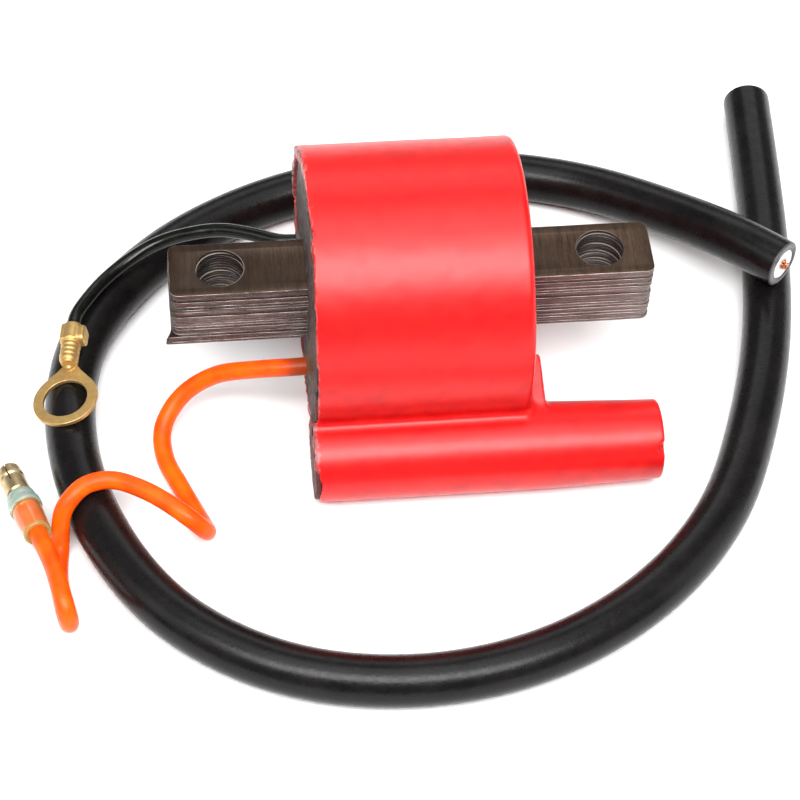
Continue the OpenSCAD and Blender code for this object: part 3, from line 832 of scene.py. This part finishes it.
def add_ht_cable():
    """Loose length of HT cable: jacket, white insulation and copper strands, cut square at both ends."""
    route = Route(HT_ROUTE, ease=3)
    core_r = HT_CORE_D / 2
    jacket = add_tube("ht_jacket", route, HT_D / 2, core_r + FIT_GAP, 1.0, 0.25, 48, "cable_black",
                      "ht_cable_jacket")
    insulation = add_tube("ht_insulation", route, core_r, HT_STRAND_D / 2, 1.6, 0.15, 32,
                          "cable_white", "ht_cable_insulation")
    strands = add_strands(route)


def add_lead(name, node, points, diameter, look):
    """Solid insulated lead, swept along its route, that ends in its terminal."""
    route = Route(points, ease=0.8)
    edge = 0.12
    r = diameter / 2
    rings = edge_rings(0, r, edge, -1, 3)
    rings += [(s, r * (1 + 0.012 * float(smooth_noise([s, r, 0], 5))))
              for s in np.arange(0.5, route.length - 0.4, 0.4)]
    rings += edge_rings(route.length, r, edge, 1, 3)
    lead = add_piece(name, *sweep(route, rings, 32), [look], [node])
    exit_at = route.at([GROUND_ROUTE[1][0] - GROUND_ROUTE[0][0]])[0][0]


# --- case ---

def toward_tower(p):
    """Distance from the drum's axis towards the tower's, and to the side of that line."""
    along = p[:, 1:] @ TOWER_DIRECTION
    aside = p[:, 2] * TOWER_DIRECTION[0] - p[:, 1] * TOWER_DIRECTION[1]
    return along, aside


def from_tower_axis(p):
    return np.hypot(p[:, 1] - TOWER_Y, p[:, 2] - TOWER_Z)


def cavity_field(p):
    """Space inside the case: the drum's cavity, the tower's bore behind the partition and the passage."""
    x = p[:, 0]
    along, aside = toward_tower(p)
    partition_left = 7
    drum = np.maximum(np.hypot(p[:, 1], p[:, 2]) - CAVITY_R, x - CAVITY_RIGHT)
    bore = from_tower_axis(p) - TOWER_BORE_R
    passage = np.maximum(np.abs(aside) - WEB_PASSAGE_W / 2, band(along, CAVITY_R - 2, TOWER_REACH))
    return np.minimum(drum, np.maximum(np.minimum(bore, passage), x - partition_left))


def socket_field(p):
    """HT socket: mouth, gripping part and the hole for the spike."""
    x = p[:, 0]
    mouth_r, mouth_depth = 3.6, 14
    grip_r, grip_depth = 3.4, 23
    spike_r, spike_left = 1.13, 5
    radial = from_tower_axis(p)
    mouth = np.maximum(radial - mouth_r, TOWER_TIP - mouth_depth - x)
    grip = np.maximum(radial - grip_r, TOWER_TIP - grip_depth - x)
    spike = np.maximum(radial - spike_r, spike_left - x)
    return np.minimum(np.minimum(mouth, grip), spike)


def buttress_field(p):
    """Fin on the closed end that runs down to the tower."""
    head, toe = 11.1, TOWER_REACH - TOWER_R + 2.2
    head_stand, toe_stand = 2.1, 2.6
    half_w = 3.5
    along, aside = toward_tower(p)
    slope = (toe_stand - head_stand) / (toe - head)
    stand = np.minimum(head_stand + slope * (along - head), toe_stand)
    outer = (p[:, 0] - DRUM_RIGHT - stand) / math.hypot(1, slope)
    fin = round_max(round_max(outer, head - along, 0.5), np.abs(aside) - half_w, 0.3)
    return np.maximum(fin, np.maximum(DRUM_RIGHT - 1 - p[:, 0], along - TOWER_REACH))


def rim_line(p):
    """How far the case's broken open end lies from its nominal place."""
    y, z = p[:, 1], p[:, 2]
    across = p * ACROSS
    chip = 0.12 + 0.12 * smooth_noise(across, 0.55) + 0.14 * smooth_noise(across, 1.9)
    chip += 0.7 * share(smooth_noise(across, 1.3) - 0.55)
    tower = share((TOWER_R + 0.8 - from_tower_axis(p)) / 0.8)
    near = share((z - y - 6) / 14)
    far = share((y - 5) / 6) * share((z + 3) / 4)
    belly = np.exp(-((y + 17) / 3.2) ** 2 - ((z + 3.5) / 3.5) ** 2)
    lower_tower = share((TOWER_Y + TOWER_Z - 1 - y - z) / 2.5)
    return chip + (1 - tower) * (0.36 * near + 0.2 * belly - 0.3 * far) + tower * (0.8 * lower_tower - 0.35)


def case_field(p):
    """Moulded case with its fillets, slightly uneven skin and chipped rim."""
    x = p[:, 0]
    radial = np.hypot(p[:, 1], p[:, 2])
    drum = round_max(radial - DRUM_R, x - DRUM_RIGHT, END_ROUND)
    taper_start = DRUM_RIGHT + 2.5
    taper = share((x - taper_start) / (TOWER_TIP - taper_start))
    tower_r = TOWER_R + (TOWER_MOUTH_R - TOWER_R) * taper
    tower = round_max(from_tower_axis(p) - tower_r, x - TOWER_TIP, 0.45)
    body = round_min(drum, tower, 1.6)
    body = round_min(body, buttress_field(p), 0.9)
    body += 0.03 * smooth_noise(p, 7) + 0.012 * smooth_noise(p, 1.7)

    body = round_max(body, DRUM_LEFT + rim_line(p) - x, 0.12)
    body = round_max(body, -cavity_field(p), 0.14)

    core_gap = 0.05
    slot = np.abs(p[:, 1:]) - CORE_HALF[1:] - core_gap
    slot = np.maximum(slot.max(1), CAVITY_RIGHT - 1 - x)
    body = round_max(body, -slot, 0.3)
    body = round_max(body, -socket_field(p), 0.3)
    notch_at = [TOWER_TIP + 0.1, TOWER_Y - 0.8 * TOWER_MOUTH_R, TOWER_Z + 0.6 * TOWER_MOUTH_R]
    notch = np.linalg.norm(p - notch_at, axis=1) - 0.95
    return round_max(body, -notch, 0.35)


def add_case():
    xs = stations((DRUM_LEFT - 0.3, DRUM_LEFT + 1, 0.13), (DRUM_LEFT + 1, CAVITY_RIGHT - 1, 0.9),
                  (CAVITY_RIGHT - 1, DRUM_RIGHT + 4, 0.3), (DRUM_RIGHT + 4, TOWER_TIP - 1.5, 0.9),
                  (TOWER_TIP - 1.5, TOWER_TIP + 0.5, 0.2))
    ys, zs = (stations((CASE_LOW[n] - 0.7, CASE_HIGH[n] + 1, 0.42)) for n in (1, 2))
    add_surface("case_body", case_field, (xs, ys, zs), "case_red", ["case_shell"])


def potting_field(p):
    """Face of the potting: it climbs the case, the core and the leads, bubbles have left pits in it,
    and on the lower side it has run out over the rim."""
    y, z = p[:, 1], p[:, 2]
    across = p * ACROSS
    over_rim = share((-z - 2.5) / 2.5)
    at_tower = share((TOWER_R + 1.2 - from_tower_axis(p)) / 1.2)
    spill = 1.2 + 0.2 * smooth_noise(across, 1.4) + 0.2 * at_tower
    outline = cavity_field(across + [RESIN_FACE, 0, 0]) - spill * over_rim
    core = np.maximum(np.abs(y) - CORE_HALF[1], np.abs(z) - CORE_HALF[2])
    height = 0.06 + 0.07 * smooth_noise(across, 3.3) + 0.03 * smooth_noise(across, 0.8)
    height += 0.1 * over_rim + 0.42 * at_tower
    wetted = share((4 - z) / 4) * (1 - over_rim)
    height += 0.22 * np.exp(np.minimum(outline, 0) / 0.7) * wetted
    height += 0.2 * np.exp(-np.maximum(core, 0) / 0.6)
    for exit_at, climb in ((GROUND_ROUTE[1], 0.5), (PRIMARY_ROUTE[1], 0.6)):
        d = np.hypot(y - exit_at[1], z - exit_at[2])
        height += climb * np.exp(-(np.maximum(d - 1, 0) / 0.75) ** 2)
    height -= 0.25 * share(smooth_noise(across, 0.9) - 0.7)
    slab = round_max(RESIN_FACE - height - p[:, 0], outline + 0.01, 0.25)
    return np.maximum(np.maximum(slab, p[:, 0] - RESIN_FACE - 0.15), -core)


def add_potting_face():
    xs = stations((RESIN_FACE - 1.8, RESIN_FACE + 0.4, 0.12))
    ys, zs = (stations((CASE_LOW[n], CASE_HIGH[n], 0.32)) for n in (1, 2))
    add_surface("potting_face", potting_field, (xs, ys, zs), "potting")


# --- core ---

def plate_outline(low, high, corner, waver, tip):
    """Outline of a plate with rounded corners and slightly uneven long edges; where tip is more than
    0, the near corner at the lead end runs out to a point instead."""
    outline = []
    for cx, cy, start in ((high[0], high[1], 0), (low[0], high[1], 90), (low[0], low[1], 180),
                          (high[0], low[1], 270)):
        if start == 180 and tip:
            outline += [(cx, cy + 1.6), (cx - tip + 0.06, cy + 0.26), (cx - tip, cy + 0.1),
                        (cx - tip + 0.1, cy)]
        else:
            cx -= math.copysign(corner, cx)
            cy -= math.copysign(corner, cy)
            for i in range(7):
                a = math.radians(start + 15 * i)
                outline.append((cx + corner * math.cos(a), cy + corner * math.sin(a)))
        if start in (0, 180):
            end, edge_y = (low[0] + corner, high[1]) if start == 0 else (high[0] - corner, low[1])
            for x in np.linspace(outline[-1][0], end, 60)[1:-1]:
                outline.append((x, edge_y + 0.025 * waver(x)))
    return outline


def add_plate(number):
    """One core plate with two holes, its edges eased, in the place of its CAD node."""
    node = f"core_lamination_{number:02d}"
    low, high = box_mm(node)
    tip = max(0, -CORE_HALF[0] - low[0])
    low[0] = -CORE_HALF[0]
    rng = np.random.default_rng(100 + number)
    slip = np.array([rng.uniform(-0.1, 0.1), rng.uniform(-0.09, 0.07)])
    seed = 40.0 * number

    def waver(x):
        return float(smooth_noise([x, seed, 0], 1.8))

    loops = [np.add(plate_outline(low, high, 1.2, waver, tip), slip)]
    a = -TURN * np.arange(56) / 56
    for x in (-HOLE_X, HOLE_X):
        step = np.array([x + rng.uniform(-0.14, 0.14), rng.uniform(-0.16, 0.1)])
        loops.append(step + HOLE_R * np.stack([np.cos(a), np.sin(a)], -1))

    ease = 0.045
    points, faces, edge_faces = [], [], []
    tops, bottoms = [], []
    for loop in loops:
        ahead, behind = np.roll(loop, -1, 0), np.roll(loop, 1, 0)
        t = ahead - behind
        inward = np.stack([-t[:, 1], t[:, 0]], -1)
        inward /= np.linalg.norm(inward, axis=1, keepdims=True)
        rings = [(low[2], ease), (low[2] + ease, 0), (high[2] - 1.6 * ease, 0),
                 (high[2] - 0.5 * ease, 0.4 * ease), (high[2], 1.1 * ease)]
        first = len(points)
        for z, back in rings:
            points += [(x, y, z) for x, y in loop + back * inward]
        edge_faces += grid_faces(len(rings), len(loop), first=first)
        bottoms.append(range(first, first + len(loop)))
        tops.append(range(len(points) - len(loop), len(points)))
    for edges, flip in ((tops, False), (bottoms, True)):
        order = [i for edge in edges for i in edge]
        for triangle in tessellate_polygon([[Vector(points[i]) for i in edge] for edge in edges]):
            corners = [order[i] for i in triangle]
            a, b, c = (np.array(points[i]) for i in corners)
            if (np.cross(b - a, c - a)[2] < 0) != flip:
                corners.reverse()
            faces.append(tuple(corners))
    piece = add_piece(f"plate_{number:02d}", points, faces + edge_faces,
                      ["steel_face", "steel_edge"], [node], "core_steel")
    for polygon in piece.data.polygons:
        flat = polygon.index < len(faces)
        polygon.material_index = 0 if flat else 1
        polygon.use_smooth = not flat
    piece.data.set_sharp_from_angle(angle=math.radians(50))


# --- terminals ---

def ring_field(q):
    """Ring terminal in its own frame: q is along the barrel, to the side and up from the underside."""
    u, v, w = q.T
    ring_r, hole_r, grip_r, wire_r = 4.6, 3.15, 1.58, 0.73
    neck_half, strap_half = 1.3, 0.95
    rib_height, rib_pitch, ribs_end = 0.065, 0.8, 8.8
    lean = math.atan2(neck_half, RING_NECK) + math.acos(ring_r / math.hypot(RING_NECK, neck_half))
    disc = np.hypot(u, v) - ring_r
    taper = u * math.cos(lean) + np.abs(v) * math.sin(lean) - ring_r
    taper = np.maximum(taper, band(u, ring_r * math.cos(lean), RING_NECK))
    strap = np.maximum(np.abs(v) - strap_half, band(u, RING_NECK - 0.5, RING_END))
    flat = round_min(np.minimum(disc, taper), strap, 0.8)
    dish = 0.05 * smooth_noise(q * [1, 1, 0], 4)
    plate = round_max(flat, band(w - dish, 0.04, RING_T - 0.04), 0.1)
    plate = round_max(plate, hole_r - np.hypot(u, v), 0.08)

    rib = rib_height * np.clip(np.cos(TURN * (u - RING_NECK - 0.6) / rib_pitch), -0.8, 1)
    rib = np.where((u > RING_NECK + 0.2) & (u < ribs_end), rib, 0)
    up = w - RING_AXIS_H
    radial = np.hypot(v, up)
    barrel_r = np.interp(u, [RING_NECK - 0.1, RING_NECK + 0.9], [0.95, 1.3])
    barrel = round_max(radial - barrel_r - rib, np.abs(u - (RING_NECK + RING_GRIP) / 2)
                       - (RING_GRIP - RING_NECK) / 2 - 0.1, 0.22)
    middle, half = (RING_GRIP + RING_END) / 2, (RING_END - RING_GRIP) / 2
    grip = round_max(radial - grip_r, np.abs(u - middle) - half, 0.18)
    crown = round_max(np.abs(v - 0.1) - 1.25, np.abs(up - 0.22) - 1.2, 0.3)
    crown = round_max(crown, np.abs(u - middle + 0.15) - half, 0.2)
    flap = round_max(np.abs(up - 0.15) - 1.2, np.abs(u - middle + 0.35) - half + 0.05, 0.75)
    flap = round_max(flap, np.abs(v + 1.5) - 0.62, 0.3)
    tongue = np.linalg.norm((q - [RING_NECK - 0.05, 0, RING_T + 0.3]) / [0.45, 0.5, 0.4], axis=1)
    solid = round_min(plate, barrel, 0.3)
    solid = round_min(solid, np.minimum(grip, crown), 0.4)
    solid = round_min(solid, flap, 0.2)
    solid = round_min(solid, 0.45 * (tongue - 1), 0.2)
    wire = np.maximum(radial - wire_r, band(u, RING_NECK + 0.2, RING_GRIP))
    insulation = np.maximum(radial - GROUND_D / 2 - FIT_GAP, RING_GRIP - 0.05 - u)
    return np.maximum(solid, -np.minimum(wire, insulation))


def add_ring_terminal():
    base = RING_AT - RING_T / 2 * RING_UP
    axes = np.stack([RING_ALONG, RING_SIDE, RING_UP])
    grid = [stations((low, high, 0.1)) for low, high in ((-5, RING_END + 0.5), (-5, 5), (-0.3, 3.7))]
    return add_surface("ring_terminal_body", ring_field, grid, "brass_ring",
                       ["ring_terminal"], "brass", base, axes)


def bullet_profile(d):
    """Radius of the bullet at a distance from its tip."""
    r, dome_r = 1.7, 1.0
    groove_at, bead_at = 2.7, 2.35
    dome = np.sqrt(np.clip(1 - (np.clip(dome_r - d, 0, dome_r) / dome_r) ** 2, 0, 1))
    front = r - dome_r + dome_r * dome
    groove = 0.2 * np.exp(-((d - groove_at) / 0.16) ** 2)
    bead = 0.06 * np.exp(-((d - bead_at) / 0.15) ** 2)
    neck = np.interp(d, [5.7, 6.1, 6.5, 6.9], [0, 0.35, 0.35, 0.2])
    return front - (groove - bead) - neck


def bullet_field(q):
    """Split bullet in its own frame: q is along its axis from the tip, to the side and up."""
    d, v, w = q.T
    crimp_start, crimp_pitch = BULLET_OUT + 1.6, 1.2
    wire_r, grip_start = 0.83, BULLET_OUT + 3.37
    slit_half, slit_end, slit_floor = 0.08, 3.9, 0.75
    radial = np.hypot(v, w)
    pinch = np.where(d > crimp_start, 0.06 * np.cos(TURN * (d - crimp_start) / crimp_pitch), 0)
    solid = round_max(radial - bullet_profile(d) + pinch, band(d, 0, CRIMP_END), 0.1)
    wire = np.maximum(radial - wire_r, crimp_start - d)
    insulation = np.maximum(radial - PRIMARY_D / 2 - FIT_GAP, grip_start - d)
    solid = np.maximum(solid, -np.minimum(wire, insulation))
    slit = np.maximum(np.abs(v + 0.3 * w) - slit_half, np.maximum(d - slit_end, slit_floor - w))
    return round_max(solid, -slit, 0.03)


def add_bullet():
    side = unit(np.cross([0, 0, 1], BULLET_BACK))
    axes = np.stack([BULLET_BACK, side, np.cross(BULLET_BACK, side)])
    cell = 0.065
    xs = stations((-0.2, CRIMP_END + 0.2, cell))
    ys = stations((-2, 2.05, cell))
    return add_surface("bullet_body", bullet_field, (xs, ys, ys), "brass_bullet",
                       ["bullet_terminal"], "brass", BULLET_TIP, axes)


def add_sleeve():
    """Clear sleeve over the bullet's crimp: two front collars, and a body that hugs the insulation."""
    start = BULLET_OUT + 0.8
    length = SLEEVE_LEN - 0.8
    route = Route([bullet_point(start), bullet_point(start + length / 2),
                   bullet_point(start + length)], ease=0)
    hug = PRIMARY_D / 2 - FIT_GAP
    collar = COLLAR_END - start
    crimp = CRIMP_END - start
    rings = [(0, 1.66), (0, 1.75)] + edge_rings(0, 2.02, 0.25, -1)
    rings += [(1.0, 2.04), (1.2, 1.96), (1.3, 2.0), (1.45, 2.2), (1.65, 2.3)]
    rings += edge_rings(collar, 2.3, 0.3, 1)
    rings += [(collar + 0.1, 2.06), (3.8, 2.04), (5, 2.0), (6.4, 1.94), (length - 0.7, 1.9)]
    rings += edge_rings(length, 1.9, 0.2, 1) + [(length, hug + 0.1), (length - 0.15, hug)]
    rings += [(length - 1.2, hug), (crimp + 0.9, hug), (crimp + 0.2, hug + 0.05), (crimp, 1.56),
              (crimp - 0.3, 1.62)]
    points, faces = sweep(route, rings, 64, closed=True)
    add_piece("sleeve_body", points, faces, ["clear_pvc"], ["terminal_sleeve"], body="sleeve")


# --- the CAD nodes that stay ---

# Look of each piece inside the case, whose CAD shape is already right.
DRESSED = {
    "potting_resin": "potting", "core_insulation": "paper", "primary_bobbin": "bobbin_dark",
    "primary_winding": "primary_wire", "interlayer_wrap": "film", "secondary_bobbin": "bobbin_light",
    "secondary_winding": "secondary_wire", "ht_jumper": "copper", "ht_terminal": "brass_bullet",
    "solder_joints": "solder", "ground_lead_strands": "copper", "primary_lead_strands": "copper"}


def dress_cad_nodes():
    for node, look in DRESSED.items():
        mesh = frame["nodes"][node].data
        mesh.materials.clear()
        mesh.materials.append(LOOKS[look])


def make_looks():
    for make in (case_red, potting, steel_face, steel_edge, cable_black, cable_white, lead_black,
                 lead_orange, clear_pvc):
        make()
    copper("copper")
    copper("primary_wire", 0.6)
    copper("secondary_wire", 0.12)
    brass("brass_ring", (206, 174, 114), (176, 142, 86), 0.52)
    brass("brass_bullet", (204, 184, 144), (176, 150, 106), 0.34)
    plain("paper", (178, 160, 120), (204, 188, 150), 1.5, 0.75, 0.05)
    plain("bobbin_dark", (34, 44, 46), (48, 58, 60), 2, 0.45, 0.02)
    plain("bobbin_light", (226, 220, 200), (240, 236, 220), 2, 0.45, 0.02)
    plain("film", (206, 160, 60), (226, 186, 90), 3, 0.25, 0.02)
    plain("solder", (170, 172, 176), (204, 206, 210), 0.5, 0.3, 0.04)


add_camera()
make_looks()
ring_body = add_ring_terminal()
bullet_body = add_bullet()
add_ht_cable()
add_lead("ground_wire", "ground_lead", GROUND_ROUTE, GROUND_D, "lead_black")
add_lead("primary_wire", "primary_lead", PRIMARY_ROUTE, PRIMARY_D, "lead_orange")
add_case()
add_potting_face()
for number in range(1, PLATES + 1):
    add_plate(number)
add_sleeve()
dress_cad_nodes()
add_studio()
